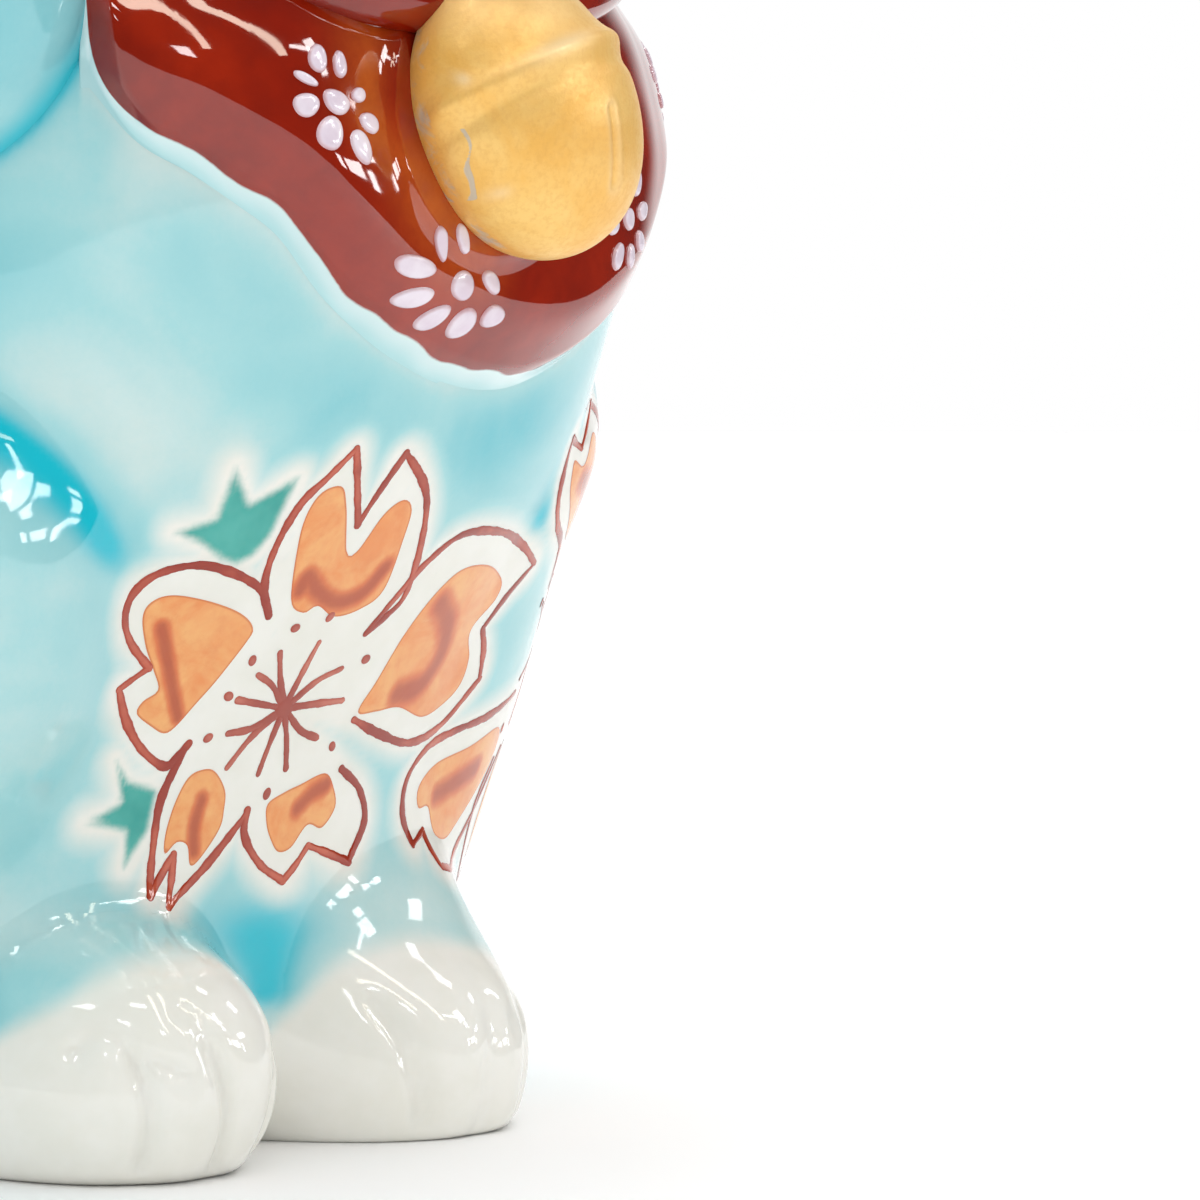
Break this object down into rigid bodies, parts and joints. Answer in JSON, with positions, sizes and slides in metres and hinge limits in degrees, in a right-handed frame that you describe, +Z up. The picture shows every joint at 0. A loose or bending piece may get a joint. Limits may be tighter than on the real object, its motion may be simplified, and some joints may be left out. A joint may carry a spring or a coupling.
{
  "type": "lucky cat figurine",
  "caption": "Seated porcelain lucky cat with one paw raised, red bib, collar with a gold bell, painted blossoms, and a bung in the base.",
  "frame": {"origin": "middle of the footprint box, on the surface the figure stands on", "axes": "+Z up; the cat faces -Y, and its raised right paw is on the -X side"},
  "size_m": [0.101, 0.0948, 0.1504],
  "materials": {
    "glaze_turquoise": "clear turquoise glaze over porcelain, pooled darker in the creases",
    "glaze_ivory": "ivory white glaze over porcelain",
    "glaze_red": "glossy red overglaze enamel",
    "gold": "satin gold paint over porcelain, slightly grained",
    "vinyl": "soft translucent vinyl"
  },
  "bodies": {
    "figure": {"body_shell": "glaze_turquoise", "head_shell": "glaze_turquoise", "raised_arm": "glaze_turquoise", "lowered_arm": "glaze_turquoise", "right_hind_paw": "glaze_ivory", "left_hind_paw": "glaze_ivory", "tail": "glaze_turquoise", "bib": "glaze_red", "collar_cord": "glaze_red", "bow": "glaze_red", "bell": "gold"},
    "stopper": {"base_stopper": "vinyl"}
  },
  "joints": [
    {"name": "stopper_pull", "type": "slide", "parent": "figure", "child": "stopper", "axis": [0, 0, -1], "range_m": [0, 0.014]}
  ]
}
